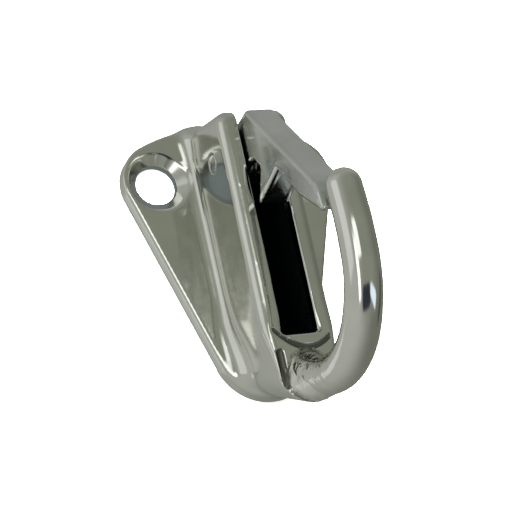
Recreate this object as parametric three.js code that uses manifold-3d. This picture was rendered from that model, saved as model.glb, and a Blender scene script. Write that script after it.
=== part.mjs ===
// Fender hook on a base plate: a stainless hook whose mouth is closed by a sprung gate.
//
// The part lies on its back. The plate's back face is z = 0 and +Z points away from the
// surface that it is screwed to. +Y runs along the plate towards the gate's hinge, and the
// part is symmetric across x = 0. All sizes are in millimetres.

import * as THREE from "three";
import { mergeVertices } from "three/addons/utils/BufferGeometryUtils.js";
import Module from "manifold-3d";

const wasm = await Module();
wasm.setup();

// ---------------------------------------------------------------- driving dimensions

// Base plate: two lobes round the screws and a round tail under the hook
const plateThickness = 3;
const plateBevel = 0.9;
const plateTopY = 28.1;
const lobe = { x: 11.5, y: 18.6, radius: 6.9 };
const tail = { y: -11.6, radius: 8.7 };
const screw = { x: 12.4, y: 18.5, holeRadius: 3.4, sinkRadius: 5.3 };

// Ridge: two cheeks with the gate's slot between them, narrowing to a tail that holds the hook
const ridgeHalfWidth = 6;
const ridgeBevel = 1.2;
const ridgeHingeZ = 18.1;
const ridgeTailZ = 17;
const ridgeFootY = 27.7;
const ridgeShoulderY = 23.4;
const ridgeTailRadius = 4.95;
const ridgeNarrowing = 9;
const footHeight = 1.4;
const footSpread = 1.2;
const footHalfWidthHinge = 5.8;
const footHalfWidthTail = 7;
const footTailY = -18.3;
const slotHalfWidth = 2.9;
const slotTailY = -14.6;
const slotFloorZ = 2;

// Hook: stations along a round rod that thins from its root to its tip. Its line runs on
// below the rod's end, down to the plate, and the ridge's tail leans along it.
const hookStations = [
  { y: -15.2, z: 3, radius: 3.8 },
  { y: -17.8, z: 9, radius: 3.8 },
  { y: -20.7, z: 15.5, radius: 3.5 },
  { y: -23.7, z: 22, radius: 3.2 },
  { y: -25.05, z: 29.4, radius: 3.05 },
  { y: -23, z: 37, radius: 2.95 },
  { y: -16.8, z: 42.4, radius: 2.85 },
  { y: -8.8, z: 43.9, radius: 2.8 },
  { y: -1.9, z: 43.6, radius: 2.75 },
];
const socketDepth = 3.6;
const weldThickness = 0.9;
const weldHeight = 0.9;

// Gate: a sheet folded into a channel, with an ear on each side round the pin
const pivot = { y: 17.2, z: 11.4 };
const gateHalfWidth = 2.55;
const gateSheet = 0.9;
const earRadius = 4.2;

// Pin and torsion spring
const pinRadius = 1.5;
const pinClearance = 0.1;
const wireRadius = 0.35;
const coilRadius = 2.15;
const coilPitch = 0.72;
const coilTurns = 3.25;

const gap = 0.3;

// Lean of the hook's root (y per z), where its line meets z = 0, and the fall of the ridge's top
const [rootEnd, , rootTop] = hookStations;
const rootLean = (rootTop.y - rootEnd.y) / (rootTop.z - rootEnd.z);
const rootFootY = rootEnd.y - rootLean * rootEnd.z;
const topFall = (ridgeHingeZ - ridgeTailZ) / (ridgeShoulderY - rootTop.y);

/** Height of the ridge's top at y. */
const rimHeight = (y) => ridgeTailZ + topFall * (y - rootTop.y);

// ---------------------------------------------------------------- helpers

/** Polished steel of the given colour and roughness. */
const steel = (color, roughness) =>
  new THREE.MeshStandardMaterial({ color, roughness, metalness: 1 });

/** Turns a closed geometry into a manifold solid. */
function solid(geometry) {
  const bare = new THREE.BufferGeometry();
  const flat = geometry.index ? geometry.toNonIndexed() : geometry;
  bare.setAttribute("position", flat.getAttribute("position"));
  const welded = mergeVertices(bare, 1e-4);
  const mesh = new wasm.Mesh({
    numProp: 3,
    vertProperties: new Float32Array(welded.getAttribute("position").array),
    triVerts: new Uint32Array(welded.getIndex().array),
  });
  return new wasm.Manifold(mesh);
}

/** Turns a manifold solid back into a named mesh. */
function meshOf(name, body, material) {
  const { vertProperties, triVerts } = body.getMesh();
  const geometry = new THREE.BufferGeometry();
  geometry.setAttribute("position", new THREE.BufferAttribute(vertProperties, 3));
  geometry.setIndex(new THREE.BufferAttribute(triVerts, 1));
  geometry.computeVertexNormals();
  const mesh = new THREE.Mesh(geometry, material);
  mesh.name = name;
  return mesh;
}

/** A shape drawn in plan (x, y), extruded up from z = low to z = high with rounded rims. */
function planSolid(shape, low, high, bevel = 0, segments = 3) {
  const geometry = new THREE.ExtrudeGeometry(shape, {
    depth: high - low - 2 * bevel,
    bevelEnabled: bevel > 0,
    bevelThickness: bevel,
    bevelSize: bevel,
    bevelOffset: -bevel,
    bevelSegments: segments,
    curveSegments: 20,
  });
  geometry.translate(0, 0, low + bevel);
  return solid(geometry);
}

/** A shape drawn in side view (y, z), extruded evenly to both sides of x = 0. */
function sideSolid(shape, halfWidth, bevel = 0, segments = 3) {
  const geometry = new THREE.ExtrudeGeometry(shape, {
    depth: 2 * (halfWidth - bevel),
    bevelEnabled: bevel > 0,
    bevelThickness: bevel,
    bevelSize: bevel,
    bevelOffset: -bevel,
    bevelSegments: segments,
    curveSegments: 12,
  });
  geometry.translate(0, 0, bevel - halfWidth);
  const yzToWorld = new THREE.Matrix4().makeBasis(
    new THREE.Vector3(0, 1, 0),
    new THREE.Vector3(0, 0, 1),
    new THREE.Vector3(1, 0, 0),
  );
  geometry.applyMatrix4(yzToWorld);
  return solid(geometry);
}

/** A cylinder along X through (y, z). */
function crossCylinder(radius, halfLength, y, z, sides = 32) {
  const geometry = new THREE.CylinderGeometry(radius, radius, 2 * halfLength, sides);
  geometry.rotateZ(Math.PI / 2);
  geometry.translate(0, y, z);
  return solid(geometry);
}

/** A round tube along a curve. */
function tubeSolid(curve, radius, steps, sides) {
  const section = new THREE.Shape();
  section.absarc(0, 0, radius, 0, 2 * Math.PI);
  return solid(
    new THREE.ExtrudeGeometry(section, {
      steps,
      curveSegments: sides,
      extrudePath: curve,
      bevelEnabled: false,
    }),
  );
}

/** A closed shape through a list of points. */
const polygon = (points) => new THREE.Shape(points.map(([a, b]) => new THREE.Vector2(a, b)));

// ---------------------------------------------------------------- base plate

/** The plate's outline: straight sides tangent to the lobes and the tail. */
function plateOutline() {
  const rise = plateTopY - lobe.y;
  const topRadius =
    (lobe.x ** 2 + rise ** 2 - lobe.radius ** 2) / (2 * (rise - lobe.radius));
  const reach = Math.hypot(lobe.x, lobe.y - tail.y);
  const lean =
    Math.atan2(lobe.x, lobe.y - tail.y) - Math.asin((tail.radius - lobe.radius) / reach);
  const topY = plateTopY - topRadius;
  const topAngle = Math.atan2(lobe.y - topY, lobe.x);
  const outline = new THREE.Shape();
  outline.absarc(0, tail.y, tail.radius, Math.PI + lean, -lean, false);
  outline.absarc(lobe.x, lobe.y, lobe.radius, -lean, topAngle, false);
  outline.absarc(0, topY, topRadius, topAngle, Math.PI - topAngle, false);
  outline.absarc(-lobe.x, lobe.y, lobe.radius, Math.PI - topAngle, Math.PI + lean, false);
  return outline;
}

/** The foot in plan: straight at the hinge end and round at the tail end. */
function footOutline() {
  const hingeY = ridgeFootY - 1;
  const halfHinge = footHalfWidthHinge + footSpread;
  const halfTail = footHalfWidthTail + footSpread;
  const tailY = footTailY - footSpread + halfTail;
  const outline = new THREE.Shape();
  outline.moveTo(halfHinge, hingeY);
  outline.lineTo(-halfHinge, hingeY);
  outline.absarc(0, tailY, halfTail, Math.PI, 2 * Math.PI, false);
  outline.lineTo(halfHinge, hingeY);
  return outline;
}

/** The ridge in plan, cut at z = 0: straight sides that narrow to a round tail. */
function ridgeOutline() {
  const tailY = rootFootY;
  const hingeY = ridgeFootY - 2 * rootLean * ridgeHingeZ;
  const steps = 8;
  const outline = new THREE.Shape();
  outline.absarc(0, tailY, ridgeTailRadius, Math.PI, 2 * Math.PI, false);
  const side = [];
  for (let i = 1; i <= steps; i += 1) {
    const t = i / steps;
    const width = THREE.MathUtils.lerp(ridgeTailRadius, ridgeHalfWidth, t * t * (3 - 2 * t));
    side.push([width, tailY + ridgeNarrowing * t]);
  }
  side.push([ridgeHalfWidth, hingeY]);
  for (const [x, y] of side) outline.lineTo(x, y);
  for (const [x, y] of side.reverse()) outline.lineTo(-x, y);
  return outline;
}

/** What the ridge may fill in side view: its sloping hinge end and rounded shoulder. */
function ridgeProfile() {
  const shoulder = 2.2;
  const farY = -40;
  const profile = new THREE.Shape();
  profile.moveTo(ridgeFootY, 1);
  profile.lineTo(ridgeShoulderY + 0.9, ridgeHingeZ - shoulder);
  profile.quadraticCurveTo(
    ridgeShoulderY, ridgeHingeZ, ridgeShoulderY - shoulder, ridgeHingeZ,
  );
  profile.lineTo(farY, ridgeHingeZ);
  profile.lineTo(farY, 1);
  return profile;
}

/** The ridge: its tail leans back along the hook's root and its top falls towards the tail. */
function ridgeSolid() {
  const topAtZero = rimHeight(0);
  const leant = new THREE.Matrix4().set(
    1, 0, 0, 0,
    0, 1, rootLean, 0,
    0, topFall, 1, 0,
    0, 0, 0, 1,
  );
  return planSolid(ridgeOutline(), -4, topAtZero, ridgeBevel, 4)
    .transform(leant.toArray())
    .intersect(sideSolid(ridgeProfile(), 2 * ridgeHalfWidth));
}

/** Everything near the socket between two planes that run along the ridge's top. */
function rimBand(from, to) {
  const [farY, nearY] = [-32, -10];
  return sideSolid(
    polygon([
      [farY, rimHeight(farY) + from], [nearY, rimHeight(nearY) + from],
      [nearY, rimHeight(nearY) + to], [farY, rimHeight(farY) + to],
    ]),
    2 * ridgeHalfWidth,
  );
}

/** Plate, ridge and foot as one casting, before anything is cut from it. */
function castingBlank() {
  const plate = planSolid(plateOutline(), 0, plateThickness, plateBevel);
  const foot = planSolid(footOutline(), 1, plateThickness + footHeight, footSpread, 2);
  return plate.add(ridgeSolid()).add(foot);
}

/** A countersunk screw hole. */
function screwHole(x) {
  const depth = screw.sinkRadius - screw.holeRadius;
  const past = 1;
  const profile = [
    [0, -past], [screw.holeRadius, -past], [screw.holeRadius, plateThickness - depth],
    [screw.sinkRadius, plateThickness], [screw.sinkRadius, plateThickness + past + 2],
    [0, plateThickness + past + 2],
  ].map(([r, z]) => new THREE.Vector2(r, z));
  const geometry = new THREE.LatheGeometry(profile, 40);
  geometry.rotateX(Math.PI / 2);
  geometry.translate(x, screw.y, 0);
  return solid(geometry);
}

function makeBasePlate() {
  const slot = sideSolid(
    polygon([
      [slotTailY, slotFloorZ], [ridgeFootY + 5, plateThickness],
      [ridgeFootY + 5, 2 * ridgeHingeZ], [slotTailY, 2 * ridgeHingeZ],
    ]),
    slotHalfWidth,
  );
  const pinHole = crossCylinder(pinRadius + pinClearance, 2 * ridgeHalfWidth, pivot.y, pivot.z, 24);
  return castingBlank()
    .subtract(screwHole(screw.x))
    .subtract(screwHole(-screw.x))
    .subtract(slot)
    .subtract(pinHole)
    .subtract(hookRod(gap).subtract(rimBand(-40, -socketDepth - gap)));
}

// ---------------------------------------------------------------- hook and its weld

const hookCurve = new THREE.CatmullRomCurve3(
  hookStations.map(({ y, z }) => new THREE.Vector3(0, y, z)),
  false,
  "centripetal",
);

/** The rod's radius at curve parameter t, which is 0 at the root and 1 at the tip. */
function hookRadius(t) {
  const place = t * (hookStations.length - 1);
  const before = Math.min(Math.floor(place), hookStations.length - 2);
  return THREE.MathUtils.lerp(
    hookStations[before].radius, hookStations[before + 1].radius, place - before,
  );
}

/** The rod with its round tip, every radius grown by extra. */
function hookRod(extra) {
  const steps = 44;
  const sides = 24;
  const positions = [];
  const faces = [];
  for (let i = 0; i <= steps; i += 1) {
    const t = i / steps;
    const centre = hookCurve.getPoint(t);
    const along = hookCurve.getTangent(t);
    const radius = hookRadius(t) + extra;
    for (let j = 0; j < sides; j += 1) {
      const turn = (2 * Math.PI * j) / sides;
      const inPlane = radius * Math.sin(turn);
      positions.push(
        radius * Math.cos(turn), centre.y - along.z * inPlane, centre.z + along.y * inPlane,
      );
    }
  }
  for (let i = 0; i < steps; i += 1) {
    for (let j = 0; j < sides; j += 1) {
      const a = i * sides + j;
      const b = i * sides + ((j + 1) % sides);
      faces.push(a, b + sides, b, a, a + sides, b + sides);
    }
  }
  for (let j = 1; j < sides - 1; j += 1) {
    const last = steps * sides;
    faces.push(0, j, j + 1, last, last + j + 1, last + j);
  }
  const rod = new THREE.BufferGeometry();
  rod.setAttribute("position", new THREE.Float32BufferAttribute(positions, 3));
  rod.setIndex(faces);
  const end = hookStations[hookStations.length - 1];
  const tip = new THREE.SphereGeometry(end.radius + extra, 24, 16);
  tip.rotateZ(Math.PI / 2);
  tip.translate(0, end.y, end.z);
  return solid(rod).add(solid(tip));
}

/** The hook, with its root in the socket. */
const makeHook = () => hookRod(0).subtract(rimBand(-40, -socketDepth));

/** The bead that joins the hook to its socket's rim. */
const makeRootWeld = () =>
  hookRod(weldThickness).intersect(rimBand(gap, gap + weldHeight)).subtract(hookRod(gap));

// ---------------------------------------------------------------- gate

const webStart = { y: 21.6, z: 21.2 };
const webEnd = { y: 2.2, z: 38.1 };
const nose = [[0.7, 39.2], [-1.2, 39.9], [-4.1, 40.3]];
const lowerEdge = [
  [-4.2, 39.2], [1, 33.3], [6.3, 28.9], [8.3, 27.2], [6.7, 18.4], [7.1, 18],
  [9.3, 19.7], [11.5, 21.3], [13.5, 19.6], [13.8, 16],
];

/** The gate's side walls and ears in side view. */
function gateProfile() {
  const profile = new THREE.Shape();
  profile.moveTo(pivot.y + earRadius, pivot.z);
  profile.lineTo(webStart.y + 0.4, webStart.z - 1.6);
  profile.lineTo(webStart.y, webStart.z);
  profile.lineTo(webEnd.y, webEnd.z);
  for (const [y, z] of [...nose, ...lowerEdge]) profile.lineTo(y, z);
  profile.lineTo(pivot.y - earRadius, pivot.z);
  profile.absarc(pivot.y, pivot.z, earRadius, Math.PI, 2 * Math.PI, false);
  return profile;
}

/** The hollow between the side walls, under the web. */
function gateHollow() {
  const lengthY = webEnd.y - webStart.y;
  const lengthZ = webEnd.z - webStart.z;
  const length = Math.hypot(lengthY, lengthZ);
  const inY = (-lengthZ / length) * gateSheet;
  const inZ = (lengthY / length) * gateSheet;
  const overrun = 0.4;
  return polygon([
    [webStart.y - overrun * lengthY + inY, webStart.z - overrun * lengthZ + inZ],
    [webEnd.y + inY, webEnd.z + inZ],
    ...nose.map(([y, z], i) => [y + inY * (1 - i / 2), z - gateSheet]),
    [nose[2][0] - 5, nose[2][1] - gateSheet],
    [nose[2][0] - 5, 0],
    [webStart.y - overrun * lengthY + inY, 0],
  ]);
}

const frontWall = [[8.3, 27.2], [6.7, 18.4], [7.1, 18], [7.7, 18.4], [9.4, 27.8]];

function makeGate() {
  return sideSolid(gateProfile(), gateHalfWidth, 0.4, 2)
    .subtract(sideSolid(gateHollow(), gateHalfWidth - gateSheet))
    .add(sideSolid(polygon(frontWall), gateHalfWidth - 0.3))
    .subtract(crossCylinder(pinRadius + pinClearance, 2 * gateHalfWidth, pivot.y, pivot.z, 24));
}

// ---------------------------------------------------------------- pin and spring

const makePivotPin = () => crossCylinder(pinRadius, ridgeHalfWidth, pivot.y, pivot.z, 24);

/** The spring's route: a leg on the slot's floor, the coil, and a leg up inside the gate. */
function springCurve() {
  const startX = (-coilPitch * coilTurns) / 2;
  const points = [[6.5, slotFloorZ + 1], [11, 6.4], [14.4, 8.9]]
    .map(([y, z]) => new THREE.Vector3(startX, y, z));
  const stepsPerTurn = 12;
  for (let i = 0; i <= coilTurns * stepsPerTurn; i += 1) {
    const angle = (2 * Math.PI * i) / stepsPerTurn - Math.PI / 2;
    points.push(new THREE.Vector3(
      startX + (coilPitch * i) / stepsPerTurn,
      pivot.y + coilRadius * Math.cos(angle),
      pivot.z + coilRadius * Math.sin(angle),
    ));
  }
  for (const [y, z] of [[19.2, 14.5], [18.2, 19], [13.4, 25.6]]) {
    points.push(new THREE.Vector3(-startX, y, z));
  }
  return new THREE.CatmullRomCurve3(points, false, "centripetal");
}

const makeTorsionSpring = () => tubeSolid(springCurve(), wireRadius, 90, 4);

// ---------------------------------------------------------------- assembly

const polished = steel(0xb9bab4, 0.12);
const gateSteel = steel(0xb4b6b2, 0.18);
const pinSteel = steel(0xc4c6c6, 0.15);
const springSteel = steel(0x9fa1a1, 0.3);

const part = new THREE.Group();
part.add(
  meshOf("base_plate", makeBasePlate(), polished),
  meshOf("hook", makeHook(), polished),
  meshOf("root_weld", makeRootWeld(), polished),
  meshOf("gate", makeGate(), gateSteel),
  meshOf("pivot_pin", makePivotPin(), pinSteel),
  meshOf("torsion_spring", makeTorsionSpring(), springSteel),
);

export default part;
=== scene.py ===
"""A fender hook on its base plate: mirror-polished casting, rod hook and sprung sheet gate.

Shapes are worked out in millimetres in the CAD model's frame and turned into metres where the
meshes are made. The casting and the gate are written as distance fields, negative inside, so
that their fillets and rolled edges run smoothly into each other. Each field is then meshed.
"""

import math

import bpy
import numpy as np
from mathutils import Matrix, Vector


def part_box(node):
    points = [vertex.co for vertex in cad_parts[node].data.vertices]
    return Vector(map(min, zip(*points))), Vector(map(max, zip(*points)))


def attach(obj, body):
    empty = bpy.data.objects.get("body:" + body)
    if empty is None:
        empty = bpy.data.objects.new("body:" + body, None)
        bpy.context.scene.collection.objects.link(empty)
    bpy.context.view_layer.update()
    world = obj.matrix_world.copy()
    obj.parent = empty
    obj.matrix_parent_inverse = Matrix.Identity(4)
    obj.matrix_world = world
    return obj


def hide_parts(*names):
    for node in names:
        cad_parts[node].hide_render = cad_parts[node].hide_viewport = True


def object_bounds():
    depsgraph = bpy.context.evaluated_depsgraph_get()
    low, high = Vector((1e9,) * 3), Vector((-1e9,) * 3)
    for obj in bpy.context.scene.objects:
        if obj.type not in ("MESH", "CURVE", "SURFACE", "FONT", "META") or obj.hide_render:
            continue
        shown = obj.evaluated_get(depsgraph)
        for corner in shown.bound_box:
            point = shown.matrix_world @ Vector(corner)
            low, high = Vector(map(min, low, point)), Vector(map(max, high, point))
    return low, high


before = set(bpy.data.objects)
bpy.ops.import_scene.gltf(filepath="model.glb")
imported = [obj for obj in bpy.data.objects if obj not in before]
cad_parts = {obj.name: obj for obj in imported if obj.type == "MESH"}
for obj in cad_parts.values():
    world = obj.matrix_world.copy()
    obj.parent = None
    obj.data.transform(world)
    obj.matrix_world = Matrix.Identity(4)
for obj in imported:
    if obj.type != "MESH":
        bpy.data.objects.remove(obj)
cad_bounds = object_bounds()

MM = 0.001


def box_mm(node):
    """Lowest and highest corner of a CAD node, in millimetres."""
    low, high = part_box(node)
    return np.array(low) / MM, np.array(high) / MM


# ---------------------------------------------------------------- sizes, from the frame

PLATE_LOW, PLATE_HIGH = box_mm("base_plate")
PIN_LOW, PIN_HIGH = box_mm("pivot_pin")
GATE_LOW, GATE_HIGH = box_mm("gate")
HOOK_LOW = box_mm("hook")[0]

# Plate: two lobes round the screws and a round tail
PLATE_THICKNESS = 3.0
PLATE_TOP_Y = PLATE_HIGH[1]
PLATE_RIM_R, PLATE_BACK_R, PLATE_END_R = 0.55, 0.35, 0.4
LOBE_X, LOBE_Y = 11.5, 18.6
LOBE_R = PLATE_HIGH[0] - LOBE_X
TAIL_Y, TAIL_R = -11.6, 8.7
SCREW_X, SCREW_Y = 12.4, 18.5
HOLE_R, SINK_R = 3.4, 5.3

# Ridge, its slot, and the fillet at its foot, which is wider at the hinge end and the tail
RIDGE_HALF = PIN_HIGH[0]
RIDGE_TOP = PLATE_HIGH[2]
RIDGE_TAIL_TOP = RIDGE_TOP - 1.1
RIDGE_FOOT_Y, RIDGE_SHOULDER_Y = 27.4, 23.4
RIDGE_SHOULDER_R = 2.6
RIDGE_EDGE_R, RIDGE_TAIL_EDGE_R = 1.9, 0.65
RIDGE_TAIL_R, RIDGE_NARROWING = 4.95, 9.0
FOOT_R, FOOT_HINGE_EXTRA, FOOT_TAIL_EXTRA, FOOT_BEHIND_LESS = 1.9, 1.2, 2.0, 2.2
SLOT_HALF, SLOT_TAIL_Y, SLOT_FLOOR = 2.9, -14.6, 2.0
SLOT_CORNER_R, SLOT_LIP_R, SLOT_TAIL_LIP_EXTRA = 0.5, 0.4, 0.7
BEYOND = 40.0

PIVOT_Y, PIVOT_Z = (PIN_LOW[1:] + PIN_HIGH[1:]) / 2
PIN_R = (PIN_HIGH[1] - PIN_LOW[1]) / 2

# Stations along the hook's rod: y, z and radius, from below its root to its tip
HOOK_STATIONS = np.array([
    (-15.2, 3.0, 3.8),
    (-17.8, 9.0, 3.8),
    (-20.7, 15.5, 3.5),
    (-23.7, 22.0, 3.2),
    (-25.05, 29.4, 3.05),
    (-23.0, 37.0, 2.95),
    (-16.8, 42.4, 2.85),
    (-8.8, 43.9, 2.8),
    (-1.9, 43.6, 2.75),
])
ROOT_LEAN = np.subtract(*HOOK_STATIONS[[2, 0], 0]) / np.subtract(*HOOK_STATIONS[[2, 0], 1])
ROOT_FOOT_Y = HOOK_STATIONS[0, 0] - ROOT_LEAN * HOOK_STATIONS[0, 1]
TOP_FALL = (RIDGE_TOP - RIDGE_TAIL_TOP) / (RIDGE_SHOULDER_Y - HOOK_STATIONS[2, 0])
SOCKET_DEPTH = 3.6
CREASE_X, CREASE_Y, CREASE_BEND, CREASE_R, CREASE_HALF_WIDTH = 0.9, -17.2, 0.11, 0.45, 4.7
GROOVE_X, GROOVE_Y, GROOVE_R, GROOVE_HALF_LENGTH = 4.2, -20.4, 0.6, 2.7
WELD_HEIGHT, WELD_DEPTH = 8.0, 0.6

GATE_HALF = GATE_HIGH[0]
GATE_SHEET = 0.9
GATE_BEND_R, GATE_INNER_R = 0.75, 0.3
EAR_R = 4.2
WEB_START, WEB_END = (21.6, 21.2), (2.2, 38.1)
GATE_NOSE = [(0.7, 39.2), (-1.2, 39.9), (-4.1, 40.2)]
GATE_LOWER = [
    (-4.1, 39.2), (1.0, 33.3), (6.3, 28.9), (8.3, 27.2), (6.7, 18.3),
    (7.1, 18.0), (9.3, 19.7), (11.5, 21.3), (13.5, 19.6), (13.8, 16.0),
]
GATE_FRONT_WALL = [(8.3, 27.2), (6.7, 18.3), (7.1, 18.0), (7.8, 18.4), (9.4, 27.8)]

WIRE_R, COIL_R, COIL_PITCH, COIL_TURNS = 0.35, 2.15, 0.72, 3.25


# ---------------------------------------------------------------- distance fields


def length(a, b):
    return np.sqrt(a * a + b * b)


def meet(a, b, r):
    """What is in both fields, with the edge between them rounded to radius r."""
    return np.minimum(np.maximum(a, b), -r) + length(np.maximum(a + r, 0), np.maximum(b + r, 0))


def join(a, b, r):
    """What is in either field, with a fillet of radius r between them."""
    return np.maximum(np.minimum(a, b), r) - length(np.maximum(r - a, 0), np.maximum(r - b, 0))


def cut(a, tool, r):
    """What is in a and not in the tool, with the new edge rounded to radius r."""
    return meet(a, -tool, r)


def smooth_step(value, start, end):
    """0 up to start, 1 from end on, and smooth between."""
    t = np.clip((value - start) / (end - start), 0, 1)
    return t * t * (3 - 2 * t)


def polygon_field(a, b, points):
    """Distance to a closed outline in the plane of coordinates a and b."""
    nearest = np.full(np.broadcast(a, b).shape, np.inf)
    inside = np.zeros(nearest.shape, dtype=bool)
    previous = points[-1]
    for point in points:
        ea, eb = previous[0] - point[0], previous[1] - point[1]
        wa, wb = a - point[0], b - point[1]
        t = np.clip((wa * ea + wb * eb) / (ea * ea + eb * eb), 0, 1)
        nearest = np.minimum(nearest, (wa - t * ea) ** 2 + (wb - t * eb) ** 2)
        if abs(eb) > 1e-9:
            crosses = (b >= min(point[1], previous[1])) & (b < max(point[1], previous[1]))
            inside ^= crosses & (wa < ea * wb / eb)
        previous = point
    return np.where(inside, -1.0, 1.0) * np.sqrt(nearest)


def arc(cx, cy, r, start, end, steps=40):
    """Points along an arc, angles in radians."""
    return [
        (cx + r * math.cos(start + (end - start) * i / steps),
         cy + r * math.sin(start + (end - start) * i / steps))
        for i in range(steps + 1)
    ]


def plate_outline():
    """The plate in plan: two lobes and a tail, joined by their common tangents."""
    rise = PLATE_TOP_Y - LOBE_Y
    top_r = (LOBE_X**2 + rise**2 - LOBE_R**2) / (2 * (rise - LOBE_R))
    top_y = PLATE_TOP_Y - top_r
    top_angle = math.atan2(LOBE_Y - top_y, LOBE_X)
    reach = math.hypot(LOBE_X, LOBE_Y - TAIL_Y)
    lean = math.atan2(LOBE_X, LOBE_Y - TAIL_Y) - math.asin((TAIL_R - LOBE_R) / reach)
    points = arc(0, TAIL_Y, TAIL_R, -math.pi + lean, -lean)
    points += arc(LOBE_X, LOBE_Y, LOBE_R, -lean, top_angle)
    points += arc(0, top_y, top_r, top_angle, math.pi - top_angle)[1:-1]
    points += arc(-LOBE_X, LOBE_Y, LOBE_R, math.pi - top_angle, math.pi + lean)
    return points


def ridge_outline():
    """What the ridge may fill in side view: foot, hinge end, shoulder and falling top."""
    foot = [(RIDGE_FOOT_Y + 1.0, -4.0), (RIDGE_FOOT_Y, 1.0)]
    corner_y, corner_z = RIDGE_SHOULDER_Y - 2.0, RIDGE_TOP - RIDGE_SHOULDER_R
    shoulder = arc(corner_y, corner_z, RIDGE_SHOULDER_R, math.radians(12), math.radians(90), 12)
    return [(-BEYOND, foot[0][1]), *foot, *shoulder, (-BEYOND, rim_height(-BEYOND))]


def rim_height(y):
    """Height of the ridge's top at y."""
    return RIDGE_TAIL_TOP + TOP_FALL * (y - HOOK_STATIONS[2, 0])


def root_axis_y(z):
    """Where the leaning line of the hook's root is at height z."""
    return ROOT_FOOT_Y + ROOT_LEAN * z


def ridge_plan(x, y, z):
    """The ridge in plan: straight sides that narrow to a round tail round the leaning rod."""
    along = y - root_axis_y(z)
    half = RIDGE_TAIL_R + (RIDGE_HALF - RIDGE_TAIL_R) * smooth_step(along, 0, RIDGE_NARROWING)
    return length(x, np.maximum(-along, 0)) - half


def smooth_route(stations, step=0.2, softness=1.4):
    """Evenly spaced points through the stations, with the changes of bend softened.

    The line is a centripetal Catmull-Rom curve, averaged over a bell of width softness.
    """
    knots = [0.0]
    for a, b in zip(stations, stations[1:]):
        knots.append(knots[-1] + math.sqrt(math.hypot(b[0] - a[0], b[1] - a[1])))
    knots = np.array(knots)
    ends = [2 * stations[0] - stations[1], 2 * stations[-1] - stations[-2]]
    points = np.vstack([ends[:1], stations, ends[1:]])
    first = 2 * knots[0] - knots[1]
    last = 2 * knots[-1] - knots[-2]
    t = np.concatenate([[first], knots, [last]])
    fine = []
    for i in range(1, len(points) - 2):
        for u in np.linspace(t[i], t[i + 1], 60, endpoint=False):
            a1 = ((t[i] - u) * points[i - 1] + (u - t[i - 1]) * points[i]) / (t[i] - t[i - 1])
            a2 = ((t[i + 1] - u) * points[i] + (u - t[i]) * points[i + 1]) / (t[i + 1] - t[i])
            a3 = ((t[i + 2] - u) * points[i + 1] + (u - t[i + 1]) * points[i + 2])
            a3 = a3 / (t[i + 2] - t[i + 1])
            b1 = ((t[i + 1] - u) * a1 + (u - t[i - 1]) * a2) / (t[i + 1] - t[i - 1])
            b2 = ((t[i + 2] - u) * a2 + (u - t[i]) * a3) / (t[i + 2] - t[i])
            fine.append(((t[i + 1] - u) * b1 + (u - t[i]) * b2) / (t[i + 1] - t[i]))
    fine.append(points[-2])
    fine = np.array(fine)
    walked = np.concatenate([[0], np.cumsum(np.hypot(*np.diff(fine[:, :2], axis=0).T))])
    even = np.arange(0, walked[-1], step)
    line = np.column_stack([np.interp(even, walked, fine[:, k]) for k in range(3)])
    reach = int(3 * softness / step)
    weights = np.exp(-0.5 * (np.arange(-reach, reach + 1) * step / softness) ** 2)
    weights /= weights.sum()
    before = 2 * line[0] - line[reach:0:-1]
    after = 2 * line[-1] - line[-2:-reach - 2:-1]
    padded = np.vstack([before, line, after])
    return np.column_stack([np.convolve(padded[:, k], weights, "valid") for k in range(3)])


# The rod's whole route, and how many of its first points the socket and the weld need
HOOK_ROUTE = smooth_route(HOOK_STATIONS)
ROOT_POINTS = 140


def rod_field(x, y, z, extra):
    """The hook's rod near its root, with every radius grown by extra."""
    route = HOOK_ROUTE[:ROOT_POINTS:4]
    nearest = np.full(np.broadcast(y, z).shape, np.inf)
    radius = np.zeros(nearest.shape)
    for a, b in zip(route, route[1:]):
        ey, ez = b[0] - a[0], b[1] - a[1]
        t = np.clip(((y - a[0]) * ey + (z - a[1]) * ez) / (ey * ey + ez * ez), 0, 1)
        away = (y - a[0] - t * ey) ** 2 + (z - a[1] - t * ez) ** 2
        closer = away < nearest
        nearest = np.where(closer, away, nearest)
        radius = np.where(closer, a[2] + t * (b[2] - a[2]), radius)
    return np.sqrt(x * x + nearest) - radius - extra


OUTLINE = plate_outline()
RIDGE = ridge_outline()


def crease_field(x, y, z):
    """A shallow crease across the ridge's top, between the slot and the hook."""
    line_y = CREASE_Y + CREASE_BEND * (x - CREASE_X) ** 2
    crease = length((y - line_y) * 0.85, z - rim_height(y) - 0.15) - CREASE_R
    return np.maximum(crease, np.abs(x) - CREASE_HALF_WIDTH)


def groove_field(x, y, z):
    """The groove left between the ridge's left edge and the ground weld."""
    past = np.maximum(np.abs(y - GROOVE_Y) - GROOVE_HALF_LENGTH, 0)
    return length(length(x + GROOVE_X, z - rim_height(y)), past) - GROOVE_R


def plate_field(x, y, z):
    """The flat plate with its rolled rim."""
    upper = meet(polygon_field(x, y, OUTLINE), z - PLATE_THICKNESS, PLATE_RIM_R)
    return meet(upper, -z, PLATE_BACK_R)


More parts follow.
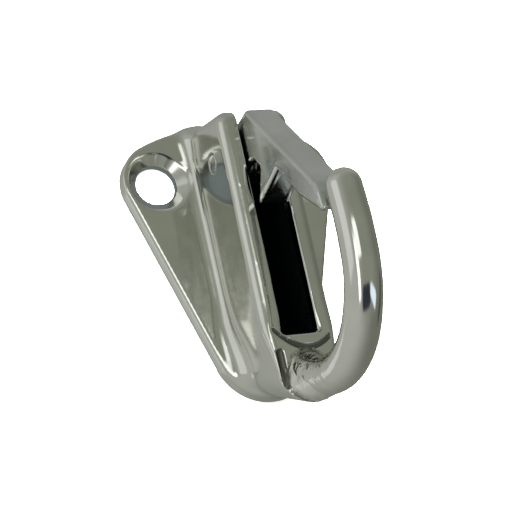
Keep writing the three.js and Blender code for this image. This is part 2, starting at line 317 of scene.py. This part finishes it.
def blank_field(x, y, z):
    """Plate and ridge with the fillet between them, before anything is cut from them.

    The ridge's top edge gets sharper towards the tail. Behind the hook's root both that edge
    and the fillet are small, so that the tail stays steep.
    """
    tailward = smooth_step(-y, 9, 20)
    behind = smooth_step(root_axis_y(z) - y, 0.5, 4.0)
    edge = RIDGE_EDGE_R + (RIDGE_TAIL_EDGE_R - RIDGE_EDGE_R) * tailward - 0.6 * behind
    ridge = meet(polygon_field(y, z, RIDGE), ridge_plan(x, y, z), edge)
    fillet = FOOT_R + FOOT_HINGE_EXTRA * smooth_step(y, 19, 27)
    fillet = fillet + FOOT_TAIL_EXTRA * smooth_step(-y, 2, 16) - FOOT_BEHIND_LESS * behind
    body = join(ridge, plate_field(x, y, z), fillet)
    return meet(np.maximum(body, -z), y - PLATE_TOP_Y, PLATE_END_R)


def screw_hole_field(x, y, z, side):
    """A countersunk hole with a cone of 90 degrees."""
    off_axis = length(x - side * SCREW_X, y - SCREW_Y)
    seat = (off_axis - HOLE_R - z + PLATE_THICKNESS - (SINK_R - HOLE_R)) * math.sqrt(0.5)
    sink = np.maximum(seat, off_axis - SINK_R - 0.1)
    return np.minimum(off_axis - HOLE_R, sink)


def pin_hole_field(x, y, z, clearance):
    """The hole across cheeks or ears that the pin runs through."""
    return length(y - PIVOT_Y, z - PIVOT_Z) - PIN_R - clearance + 0 * x


def casting_field(x, y, z):
    """The whole casting: the blank less its holes, slot, crease, groove and the hook's socket."""
    body = blank_field(x, y, z)
    for side in (-1, 1):
        body = cut(body, screw_hole_field(x, y, z, side), 0.3)
    slot_plan = meet(np.abs(x) - SLOT_HALF, SLOT_TAIL_Y - y, SLOT_CORNER_R)
    lip = SLOT_LIP_R + SLOT_TAIL_LIP_EXTRA * smooth_step(-y, 11, 15)
    body = cut(body, np.maximum(slot_plan, SLOT_FLOOR - z), lip)
    body = cut(body, pin_hole_field(x, y, z, 0.04), 0.08)
    body = cut(body, np.minimum(crease_field(x, y, z), groove_field(x, y, z)), 0.15)
    bore = np.maximum(rod_field(x, y, z, 0.05), rim_height(y) - SOCKET_DEPTH - z)
    return cut(body, bore, 0.1)


def gate_outline():
    """The gate in side view: web, nose, lower edge and the ear round the pin."""
    corner_y, corner_z, corner_r = WEB_START[0] - 0.65, WEB_START[1] - 0.95, 1.1
    points = [(PIVOT_Y + EAR_R, PIVOT_Z)]
    points += arc(corner_y, corner_z, corner_r, -0.05, 0.85, 8)
    points += [WEB_END, *GATE_NOSE, *GATE_LOWER]
    points += arc(PIVOT_Y, PIVOT_Z, EAR_R, math.pi, 2 * math.pi, 24)[:-1]
    return points


def gate_hollow():
    """The inside of the gate in side view, one sheet's thickness under the web and nose."""
    along = np.subtract(WEB_END, WEB_START)
    inward = np.array([-along[1], along[0]]) / np.hypot(*along) * GATE_SHEET
    start = WEB_START - 0.5 * along + inward
    end = WEB_END + inward
    nose = [
        np.array(point) + (inward[0] * (1 - i / 2), -GATE_SHEET)
        for i, point in enumerate(GATE_NOSE)
    ]
    far = (GATE_NOSE[-1][0] - 5, GATE_NOSE[-1][1] - GATE_SHEET)
    return [tuple(p) for p in (start, end, *nose, far, (far[0], 0), (start[0], 0))]


GATE = gate_outline()
HOLLOW = gate_hollow()


def gate_field(x, y, z):
    """The folded sheet: hollow behind its web and nose, with a front wall and the pin's hole."""
    side = polygon_field(y, z, GATE)
    body = meet(side, np.abs(x) - GATE_HALF, GATE_BEND_R)
    hollow = meet(polygon_field(y, z, HOLLOW), np.abs(x) - GATE_HALF + GATE_SHEET, GATE_INNER_R)
    body = cut(body, hollow, 0.2)
    front = meet(polygon_field(y, z, GATE_FRONT_WALL), np.abs(x) - GATE_HALF + 0.12, 0.12)
    body = join(body, front, 0.25)
    return cut(body, pin_hole_field(x, y, z, 0.08), 0.12)


# ---------------------------------------------------------------- meshing


def net(field, low, high, step):
    """Vertices and quads of the surface where the field is 0, pulled onto it exactly."""
    axes = [np.arange(a - 2 * step, b + 3 * step, step) for a, b in zip(low, high)]
    grid = np.ix_(*axes)
    values = np.broadcast_to(field(*grid), [len(a) for a in axes])
    inside = values < 0
    corners = np.zeros([n - 1 for n in inside.shape], dtype=np.int8)
    for i in (0, 1):
        for j in (0, 1):
            for k in (0, 1):
                nx, ny, nz = corners.shape
                corners += inside[i:i + nx, j:j + ny, k:k + nz]
    active = (corners > 0) & (corners < 8)
    number = np.full(active.shape, -1)
    number[active] = np.arange(active.sum())
    cells = np.argwhere(active)
    points = np.column_stack([axes[k][cells[:, k]] + step / 2 for k in range(3)])
    quads = []
    for axis in range(3):
        a, b = (axis + 1) % 3, (axis + 2) % 3
        here = [slice(1, -1)] * 3
        there = [slice(1, -1)] * 3
        here[axis] = slice(0, -1)
        there[axis] = slice(1, None)
        start, end = inside[tuple(here)], inside[tuple(there)]
        for leaving in (True, False):
            edges = np.argwhere((start & ~end) if leaving else (~start & end))
            edges[:, a] += 1
            edges[:, b] += 1
            around = []
            for da, db in ((-1, -1), (0, -1), (0, 0), (-1, 0)):
                cell = edges.copy()
                cell[:, a] += da
                cell[:, b] += db
                around.append(number[cell[:, 0], cell[:, 1], cell[:, 2]])
            quad = np.column_stack(around)
            quads.append(quad if leaving else quad[:, ::-1])
    return settle(field, points, step), np.vstack(quads)


def settle(field, points, step):
    """Moves each point down the field's slope onto the surface."""
    tiny = 0.01
    for _ in range(5):
        value = field(*points.T)
        slope = np.column_stack([
            (field(*(points + tiny * axis).T) - field(*(points - tiny * axis).T)) / (2 * tiny)
            for axis in np.eye(3)
        ])
        steep = np.maximum((slope**2).sum(axis=1), 0.3)
        move = -(value / steep)[:, None] * slope
        points = points + np.clip(move, -step / 2, step / 2)
    return points


def make_mesh(name, points, faces, finish, maps=None):
    """A smooth-shaded object from points in millimetres, with its finish's depth maps."""
    mesh = bpy.data.meshes.new(name)
    mesh.from_pydata((np.asarray(points) * MM).tolist(), [], [list(map(int, f)) for f in faces])
    mesh.update()
    piece = bpy.data.objects.new(name, mesh)
    bpy.context.scene.collection.objects.link(piece)
    mesh.materials.append(finish.material)
    mesh.polygons.foreach_set("use_smooth", [True] * len(mesh.polygons))
    for map_name, values in (maps or {}).items():
        layer = mesh.attributes.new(map_name, "FLOAT", "POINT")
        layer.data.foreach_set("value", values.astype(np.float32))
    return piece


def swept(route, radii, sides=40, round_start=False, round_end=True):
    """A tube through 3-D points in millimetres, with domed or flat ends."""
    route = np.asarray(route, float)
    radii = np.broadcast_to(radii, len(route)).astype(float)
    tangents = np.gradient(route, axis=0)
    tangents /= np.linalg.norm(tangents, axis=1)[:, None]
    rings = []
    normal = np.array([1.0, 0.0, 0.0])

    def ring(centre, tangent, radius):
        nonlocal normal
        normal = normal - tangent * normal.dot(tangent)
        normal /= np.linalg.norm(normal)
        other = np.cross(tangent, normal)
        angles = np.linspace(0, 2 * math.pi, sides, endpoint=False)
        circle = np.outer(np.cos(angles), normal) + np.outer(np.sin(angles), other)
        rings.append(centre + radius * circle)

    dome = [math.radians(a) for a in range(6, 90, 7)]
    if round_start:
        for angle in dome:
            ring(route[0] - tangents[0] * radii[0] * math.cos(angle), tangents[0],
                 radii[0] * math.sin(angle))
    for centre, tangent, radius in zip(route, tangents, radii):
        ring(centre, tangent, radius)
    if round_end:
        for angle in reversed(dome):
            ring(route[-1] + tangents[-1] * radii[-1] * math.cos(angle), tangents[-1],
                 radii[-1] * math.sin(angle))
    points = np.vstack(rings)
    faces = []
    for i in range(len(rings) - 1):
        for j in range(sides):
            k = (j + 1) % sides
            faces.append((i * sides + j, i * sides + k, (i + 1) * sides + k, (i + 1) * sides + j))
    last = (len(rings) - 1) * sides
    faces.append(tuple(range(sides - 1, -1, -1)))
    faces.append(tuple(last + j for j in range(sides)))
    return points, faces


# ---------------------------------------------------------------- materials


class Nodes:
    """A new material's node tree, with short ways to add to it."""

    def __init__(self, name):
        self.material = bpy.data.materials.new(name)
        self.material.use_nodes = True
        self.tree = self.material.node_tree
        self.shader = self.tree.nodes["Principled BSDF"]
        self.place = self.add("ShaderNodeTexCoord").outputs["Object"]

    def add(self, kind, **settings):
        node = self.tree.nodes.new(kind)
        for key, value in settings.items():
            setattr(node, key, value)
        return node

    def link(self, start, end):
        self.tree.links.new(start, end)

    def noise(self, scale, detail=3.0, stretch=None):
        """Noise over the object's own coordinates, in cycles per metre."""
        texture = self.add("ShaderNodeTexNoise")
        texture.inputs["Scale"].default_value = scale
        texture.inputs["Detail"].default_value = detail
        source = self.place
        if stretch:
            mapping = self.add("ShaderNodeMapping")
            mapping.inputs["Scale"].default_value = stretch
            self.link(source, mapping.inputs["Vector"])
            source = mapping.outputs["Vector"]
        self.link(source, texture.inputs["Vector"])
        return texture.outputs["Fac"]

    def spread(self, value, low, high, start=0.3, end=0.7):
        """A value mapped from start..end to low..high."""
        node = self.add("ShaderNodeMapRange")
        node.inputs["From Min"].default_value = start
        node.inputs["From Max"].default_value = end
        node.inputs["To Min"].default_value = low
        node.inputs["To Max"].default_value = high
        self.link(value, node.inputs["Value"])
        return node.outputs["Result"]

    def below(self, full, none):
        """1 below one height and 0 above another, in metres."""
        place = self.add("ShaderNodeSeparateXYZ")
        self.link(self.place, place.inputs["Vector"])
        return self.spread(place.outputs["Z"], 1, 0, full, none)

    def product(self, first, second):
        """Two values multiplied."""
        node = self.add("ShaderNodeMath", operation="MULTIPLY")
        self.link(first, node.inputs[0])
        self.link(second, node.inputs[1])
        return node.outputs["Value"]

    def blend(self, factor, first, second):
        """A colour between two colours, given as sockets or plain values."""
        node = self.add("ShaderNodeMix", data_type="RGBA")
        for colour, socket in ((first, node.inputs["A"]), (second, node.inputs["B"])):
            if isinstance(colour, tuple):
                socket.default_value = (*colour, 1)
            else:
                self.link(colour, socket)
        self.link(factor, node.inputs["Factor"])
        return node.outputs["Result"]

    def within(self, depth_map):
        """1 where the mesh's map of that name is below 0 and 0 above, with a sharp edge."""
        node = self.add("ShaderNodeAttribute", attribute_name=depth_map)
        return self.spread(node.outputs["Fac"], 1, 0, -0.03, 0.03)

    def finish_over(self, mask, colour, rough):
        """Another colour and roughness where the mask is 1."""
        for name, value in (("Base Color", colour), ("Roughness", (rough,) * 3)):
            socket = self.shader.inputs[name]
            self.link(self.blend(mask, socket.links[0].from_socket, value), socket)

    def bump(self, height, strength, distance):
        """Adds a bump, distance deep in metres, to those that the shader already has."""
        node = self.add("ShaderNodeBump")
        node.inputs["Strength"].default_value = strength
        node.inputs["Distance"].default_value = distance
        self.link(height, node.inputs["Height"])
        if self.shader.inputs["Normal"].links:
            self.link(self.shader.inputs["Normal"].links[0].from_socket, node.inputs["Normal"])
        self.link(node.outputs["Normal"], self.shader.inputs["Normal"])


# How deep each kind of unevenness is, and the heights between which the dressing fades, in metres
RIPPLE_DEPTH, GRAIN_DEPTH, DRESSED_DEPTH = 0.0002, 0.00001, 0.0009
DRESSED_FROM, DRESSED_TO = 0.019, 0.036


def polished_steel(name, light, dark, rough, ripple, grain, dressed=0.0):
    """Polished stainless: a soft ripple left by the wheel, fine grain and patchy haze.

    The hook's root can be dressed: unevenly ground where its weld was cleaned up.
    """
    n = Nodes(name)
    n.shader.inputs["Metallic"].default_value = 1.0
    haze = n.noise(140, 4)
    n.link(n.blend(n.spread(haze, 0, 1), light, dark), n.shader.inputs["Base Color"])
    scuff = n.noise(900, 5, stretch=(1, 0.25, 1))
    n.link(n.spread(scuff, rough * 0.8, rough * 1.35), n.shader.inputs["Roughness"])
    n.bump(n.noise(210, 2), ripple, RIPPLE_DEPTH)
    n.bump(n.noise(5200, 3, stretch=(1, 0.35, 1)), grain, GRAIN_DEPTH)
    if dressed:
        uneven = n.product(n.noise(330, 3), n.below(DRESSED_FROM, DRESSED_TO))
        n.bump(uneven, dressed, DRESSED_DEPTH)
    return n


def casting_steel(name):
    """The polished casting, with shade painted dark into its crease and groove and near-black
    into its slot.
    """
    n = polished_steel(name, (0.70, 0.70, 0.66), (0.62, 0.62, 0.58), 0.11, 0.10, 0.12)
    # Painted shade: the crease and groove are painted dark, and their finish is also rougher
    n.finish_over(n.within("painted_shade_marks"), (0.16, 0.16, 0.145), 0.42)
    # Painted shade: the slot's inside is painted near-black with a patchy tone, and its finish is
    # rough as cast
    patches = n.noise(420, 5)
    painted_slot_shade = n.blend(n.spread(patches, 0, 1), (0.024, 0.036, 0.040), (0.010, 0.015, 0.018))
    n.finish_over(n.within("slot"), painted_slot_shade, 0.7)
    return n


# Light and dark tint, roughness, ripple, grain and, at the hook's root, dressing
CASTING = casting_steel("casting_polish_and_shade")
ROD = polished_steel("rod_polish", (0.75, 0.74, 0.71), (0.66, 0.65, 0.62), 0.10, 0.12, 0.10, 0.5)
WELD = polished_steel("weld_polish", (0.86, 0.85, 0.81), (0.72, 0.70, 0.66), 0.27, 0.12, 0.2, 0.2)
SHEET = polished_steel("sheet_polish", (0.66, 0.67, 0.66), (0.58, 0.59, 0.58), 0.17, 0.12, 0.2)
PIN = polished_steel("pin_polish", (0.72, 0.73, 0.73), (0.64, 0.65, 0.65), 0.14, 0.05, 0.2)
WIRE = polished_steel("wire_polish", (0.60, 0.61, 0.61), (0.48, 0.49, 0.49), 0.28, 0.05, 0.3)


# ---------------------------------------------------------------- pieces

# Grid steps of the meshed fields, in millimetres
STEP_CASTING = 0.34
STEP_GATE = 0.22
STEP_WELD = 0.2


def piece_done(piece, body, slot, *nodes):
    """Gives a piece its body and hides the CAD nodes that it stands for; slot is not used."""
    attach(piece, body)
    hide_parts(*nodes)


def make_casting():
    """The casting, with maps of how deep its points lie in the slot and in the crease and groove,
    where shade is painted.
    """
    points, faces = net(casting_field, PLATE_LOW, PLATE_HIGH, STEP_CASTING)
    x, y, z = points.T
    # The polish runs over the slot's lip and ends a little way down its walls, where painted
    # near-black shade takes over
    slot = np.maximum.reduce([
        np.abs(x) - SLOT_HALF - 0.05, SLOT_TAIL_Y - 0.05 - y, SLOT_FLOOR - 0.2 - z,
        z - RIDGE_TAIL_TOP + 1.5, polygon_field(y, z, RIDGE) + 0.4,
    ])
    # Where the crease and groove are painted dark as shade
    painted_shade_marks = np.minimum(crease_field(x, y, z), groove_field(x, y, z)) - 0.06
    maps = {"slot": slot, "painted_shade_marks": np.maximum(painted_shade_marks, z - rim_height(y) + 0.03)}
    piece = make_mesh("base_casting", points, faces, CASTING, maps)
    piece_done(piece, "base", "polished_casting", "base_plate")


def make_hook():
    """The rod, from 2.2 mm down in its socket to its round tip."""
    route = HOOK_ROUTE[HOOK_ROUTE[:, 1] > RIDGE_TAIL_TOP - 2.2][::2]
    line = np.column_stack([np.zeros(len(route)), route[:, 0], route[:, 1]])
    points, faces = swept(line, route[:, 2], sides=56)
    piece_done(make_mesh("hook_rod", points, faces, ROD), "base", "polished_rod", "hook")


def weld_field(x, y, z):
    """The ground weld: full behind the rod, where it runs up it, and low and lumpy elsewhere.

    It is a shell round the rod: extra is how far it stands out from the rod at each point.
    """
    above = z - rim_height(y)
    behind = smooth_step(root_axis_y(z) - y, -1.5, 3.0)
    run_up = 0.95 * (1 - smooth_step(above, -1, WELD_HEIGHT)) * behind
    lumps = np.sin(1.4 * z + 1.1 * x) * np.sin(1.9 * x - 0.9 * y + 0.6)
    lumps = lumps + 0.4 * np.sin(2.7 * z - 1.5 * y)
    bead = (0.34 + 0.14 * lumps) * (1 - smooth_step(above, -0.2, 2.4)) * (1 - behind)
    extra = run_up + bead - 0.14 + 0.05 * lumps * (1 - smooth_step(above, 3, 6))
    shell = np.maximum(rod_field(x, y, z, extra), -rod_field(x, y, z, -0.7))
    return np.maximum(np.maximum(shell, -WELD_DEPTH - above), above - WELD_HEIGHT)


def make_weld():
    """The weld round the rod's root."""
    low = np.array([-5.0, HOOK_LOW[1] - 0.5, RIDGE_TAIL_TOP - 1.2])
    high = np.array([5.0, -16.0, RIDGE_TAIL_TOP + WELD_HEIGHT + 0.5])
    points, faces = net(weld_field, low, high, STEP_WELD)
    piece = make_mesh("weld_ring", points, faces, WELD)
    piece_done(piece, "base", "weld_bead", "root_weld")


def make_gate():
    """The gate's folded sheet."""
    points, faces = net(gate_field, GATE_LOW, GATE_HIGH, STEP_GATE)
    piece = make_mesh("gate_shell", points, faces, SHEET)
    piece_done(piece, "gate_body", "gate_sheet", "gate")


def make_pin():
    """The pin, its ends ground flush with the cheeks and slightly domed."""
    half = RIDGE_HALF - 0.02
    edge = [(half - 0.10, PIN_R), (half - 0.03, PIN_R - 0.05), (half, PIN_R - 0.25)]
    profile = [(-h, r) for h, r in reversed(edge)] + edge
    sides = 48
    points, faces = [], []
    for h, r in profile:
        for j in range(sides):
            angle = 2 * math.pi * j / sides
            points.append((h, PIVOT_Y + r * math.cos(angle), PIVOT_Z + r * math.sin(angle)))
    for i in range(len(profile) - 1):
        for j in range(sides):
            k = (j + 1) % sides
            faces.append((i * sides + j, (i + 1) * sides + j, (i + 1) * sides + k, i * sides + k))
    last = (len(profile) - 1) * sides
    faces.append(tuple(range(sides)))
    faces.append(tuple(last + j for j in range(sides - 1, -1, -1)))
    piece_done(make_mesh("hinge_pin", points, faces, PIN), "base", "pin_steel", "pivot_pin")


def curve_through(stations, per_span=14):
    """A smooth 3-D line through the stations."""
    stations = np.asarray(stations, float)
    padded = np.vstack([2 * stations[0] - stations[1], stations, 2 * stations[-1] - stations[-2]])
    line = []
    for a, b, c, d in zip(padded, padded[1:], padded[2:], padded[3:]):
        for t in np.linspace(0, 1, per_span, endpoint=False):
            line.append(
                0.5 * (2 * b + (c - a) * t + (2 * a - 5 * b + 4 * c - d) * t**2
                       + (3 * b - a - 3 * c + d) * t**3)
            )
    line.append(stations[-1])
    return np.array(line)


def make_spring():
    """The coil with its fixed leg on the base, and the leg that presses on the gate.

    The moving leg starts 54 degrees back inside the coil's end, so that the wire stays whole
    as the gate turns through its 40 degrees.
    """
    start_x = -COIL_PITCH * COIL_TURNS / 2
    leg = [(start_x, 6.5, SLOT_FLOOR + 1), (start_x, 11, 6.4), (start_x, 14.4, 8.9)]
    steps = 20
    coil = []
    for i in range(int(COIL_TURNS * steps) + 1):
        angle = 2 * math.pi * i / steps - math.pi / 2
        coil.append((start_x + COIL_PITCH * i / steps,
                     PIVOT_Y + COIL_R * math.cos(angle), PIVOT_Z + COIL_R * math.sin(angle)))
    fixed = np.vstack([curve_through([*leg, coil[0]])[:-1], coil])
    points, faces = swept(fixed, WIRE_R, sides=12, round_start=True)
    piece = make_mesh("spring_coil", points, faces, WIRE)
    piece_done(piece, "base", "spring_wire", "torsion_spring")
    moving = curve_through([*coil[-4:], (-start_x, 19.2, 14.5), (-start_x, 18.2, 19),
                            (-start_x, 13.4, 25.6)])
    points, faces = swept(moving, WIRE_R - 0.01, sides=12, round_start=True)
    leg_piece = make_mesh("spring_gate_leg", points, faces, WIRE)
    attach(leg_piece, "gate_body")


# ---------------------------------------------------------------- floor, light and camera

CAMERA_PLACE = Vector((-0.122002, -0.109829, 0.289044))
CAMERA_RIGHT = Vector((0.92560, -0.20758, 0.31651))
CAMERA_UP = Vector((0.07020, 0.91584, 0.39536))
CAMERA_BACK = Vector((-0.37195, -0.34373, 0.86227))
CAMERA_LENS = 142.9


def make_camera():
    """The camera, over the hook's side of the plate, with a long lens."""
    data = bpy.data.cameras.new("camera")
    data.lens = CAMERA_LENS
    data.sensor_width = 36
    data.clip_start, data.clip_end = 0.01, 20
    camera = bpy.data.objects.new("camera", data)
    bpy.context.scene.collection.objects.link(camera)
    turn = Matrix((CAMERA_RIGHT, CAMERA_UP, CAMERA_BACK)).transposed()
    camera.matrix_world = Matrix.Translation(CAMERA_PLACE) @ turn.to_4x4()
    bpy.context.scene.camera = camera


def stage_square(name, paint, x, y, half, drop):
    """A level square below the object, which isn't part of it, and its shader."""
    mesh = bpy.data.meshes.new(name)
    corners = [(x - half, y - half, 0), (x + half, y - half, 0),
               (x + half, y + half, 0), (x - half, y + half, 0)]
    mesh.from_pydata(corners, [], [(0, 1, 2, 3)])
    square = bpy.data.objects.new(name, mesh)
    square.location.z = cad_bounds[0][2] - drop
    bpy.context.scene.collection.objects.link(square)
    material = bpy.data.materials.new(paint)
    material.use_nodes = True
    mesh.materials.append(material)
    return square, material.node_tree.nodes["Principled BSDF"]


def make_floor():
    """A pale paper floor that glows a little, so that the shadow on it stays faint."""
    floor, shader = stage_square("floor", "floor_paper", 0, 0, 3.0, 0.0001)
    floor.visible_glossy = False
    shader.inputs["Base Color"].default_value = (0.93, 0.93, 0.93, 1)
    shader.inputs["Roughness"].default_value = 0.9
    shader.inputs["Emission Color"].default_value = (1, 1, 1, 1)
    shader.inputs["Emission Strength"].default_value = 0.7


def make_hole_shade_card():
    """Painted shade: a dark card under the left screw hole, glowing dim blue-grey in place of the
    shadowed floor there, seen only in the ridge's polish.
    """
    card, shader = stage_square(
        "hole_shade_card", "hole_shade_paint", -SCREW_X * MM, SCREW_Y * MM, 5 * MM, 0.00005,
    )
    card.visible_camera = card.visible_diffuse = card.visible_shadow = False
    shader.inputs["Base Color"].default_value = (0.0, 0.0, 0.0, 1)
    # Painted shade: the card's dim blue-grey glow stands in for the shadowed floor
    shader.inputs["Emission Color"].default_value = (0.17, 0.20, 0.205, 1)
    shader.inputs["Emission Strength"].default_value = 1.0


def make_light():
    """A broad soft light over the floor, which the polish doesn't mirror."""
    place, target = Vector((-0.15, 0.30, 1.0)), Vector((0.0, -0.02, 0))
    data = bpy.data.lights.new("overhead", "AREA")
    data.shape = "RECTANGLE"
    data.size = data.size_y = 1.8
    data.energy = 46
    data.spread = math.radians(70)
    light = bpy.data.objects.new("overhead", data)
    bpy.context.scene.collection.objects.link(light)
    light.location = place
    light.rotation_euler = (target - place).to_track_quat("-Z", "Y").to_euler()
    light.visible_glossy = False


# Linear colours of the surround, and soft patches on it: the direction of the centre, the long
# axis, half sizes along and across it, and colour
SURROUND_LEFT = (0.50, 0.515, 0.48)
SURROUND_RIGHT = (0.20, 0.212, 0.178)
SURROUND_TOP = (0.285, 0.308, 0.25)
SURROUND_HINGE = (0.37, 0.38, 0.35)
PATCHES = [
    ((-0.93, 0.30, 0.05), (0.0, 1.0, 0.0), (0.28, 0.34), (0.78, 0.80, 0.77)),
    ((-0.46, 0.14, 0.87), (0.0, 1.0, 0.0), (0.17, 0.20), (1.4, 1.45, 1.4)),
    ((-0.58, 0.06, -0.82), (0.0, 1.0, 0.0), (0.15, 0.12), (0.75, 0.78, 0.75)),
    ((0.97, -0.22, -0.04), (0.0, 1.0, 0.0), (0.26, 0.13), (0.09, 0.10, 0.085)),
    ((-0.74, -0.20, 0.64), (0.05, 1.0, 0.25), (0.40, 0.12), (2.0, 2.0, 1.95)),
    ((-0.12, -0.64, 0.72), (1.0, 0.0, 0.2), (0.40, 0.21), (0.035, 0.04, 0.055)),
    ((0.53, -0.56, 0.63), (1.0, 0.1, -1.0), (0.32, 0.13), (1.05, 1.2, 1.35)),
]


class WorldNodes:
    """The surround's node tree, with short ways to add to it."""

    def __init__(self):
        self.world = bpy.data.worlds.new("studio")
        self.world.use_nodes = True
        self.tree = self.world.node_tree
        self.direction = self.tree.nodes.new("ShaderNodeTexCoord").outputs["Generated"]

    def put(self, value, socket):
        """Links a socket, or sets a plain value."""
        if isinstance(value, bpy.types.NodeSocket):
            self.tree.links.new(value, socket)
        else:
            socket.default_value = value

    def math(self, operation, *values):
        """The result of a maths node."""
        node = self.tree.nodes.new("ShaderNodeMath")
        node.operation = operation
        for value, socket in zip(values, node.inputs):
            self.put(value, socket)
        return node.outputs[0]

    def along(self, axis):
        """How far the direction goes along an axis."""
        node = self.tree.nodes.new("ShaderNodeVectorMath")
        node.operation = "DOT_PRODUCT"
        self.put(self.direction, node.inputs[0])
        node.inputs[1].default_value = axis
        return node.outputs["Value"]

    def ramp(self, value, start, end):
        """0 up to start, 1 from end on, and smooth between."""
        node = self.tree.nodes.new("ShaderNodeMapRange")
        node.interpolation_type = "SMOOTHSTEP"
        self.put(value, node.inputs["Value"])
        node.inputs["From Min"].default_value = start
        node.inputs["From Max"].default_value = end
        return node.outputs["Result"]

    def mix(self, factor, first, second):
        """A colour between two colours, given as sockets or plain values."""
        node = self.tree.nodes.new("ShaderNodeMix")
        node.data_type = "RGBA"
        self.put(factor, node.inputs["Factor"])
        for name, colour in (("A", first), ("B", second)):
            if isinstance(colour, tuple):
                colour = (*colour, 1)
            self.put(colour, node.inputs[name])
        return node.outputs["Result"]


def make_world():
    """A soft surround: lighter on the left, darker to the right, with cards and a flag."""
    w = WorldNodes()
    colour = w.mix(w.ramp(w.along((1, 0, 0)), -0.8, 0.7), SURROUND_LEFT, SURROUND_RIGHT)
    colour = w.mix(w.ramp(w.along((0, 0, 1)), 0.2, 0.95), colour, SURROUND_TOP)
    colour = w.mix(w.ramp(w.along((0.2, 1, -0.2)), 0.55, 1.0), colour, SURROUND_HINGE)
    for towards, long_axis, halves, tint in PATCHES:
        centre = Vector(towards).normalized()
        first = Vector(long_axis)
        first = (first - centre * first.dot(centre)).normalized()
        second = centre.cross(first)
        off_long = w.math("DIVIDE", w.along(first), halves[0])
        off_short = w.math("DIVIDE", w.along(second), halves[1])
        away = w.math("ADD", w.math("POWER", w.math("ABSOLUTE", off_long), 4.0),
                      w.math("POWER", w.math("ABSOLUTE", off_short), 4.0))
        inside = w.math("SUBTRACT", 1.0, w.ramp(away, 0.35, 1.6))
        facing = w.ramp(w.along(centre), 0.0, 0.05)
        colour = w.mix(w.math("MULTIPLY", inside, facing), colour, tint)
    w.put(colour, w.tree.nodes["Background"].inputs["Color"])
    bpy.context.scene.world = w.world


bpy.context.scene.view_settings.view_transform = "Standard"

make_camera()
make_floor()
make_hole_shade_card()
make_world()
make_light()
make_casting()
make_hook()
make_weld()
make_gate()
make_pin()
make_spring()
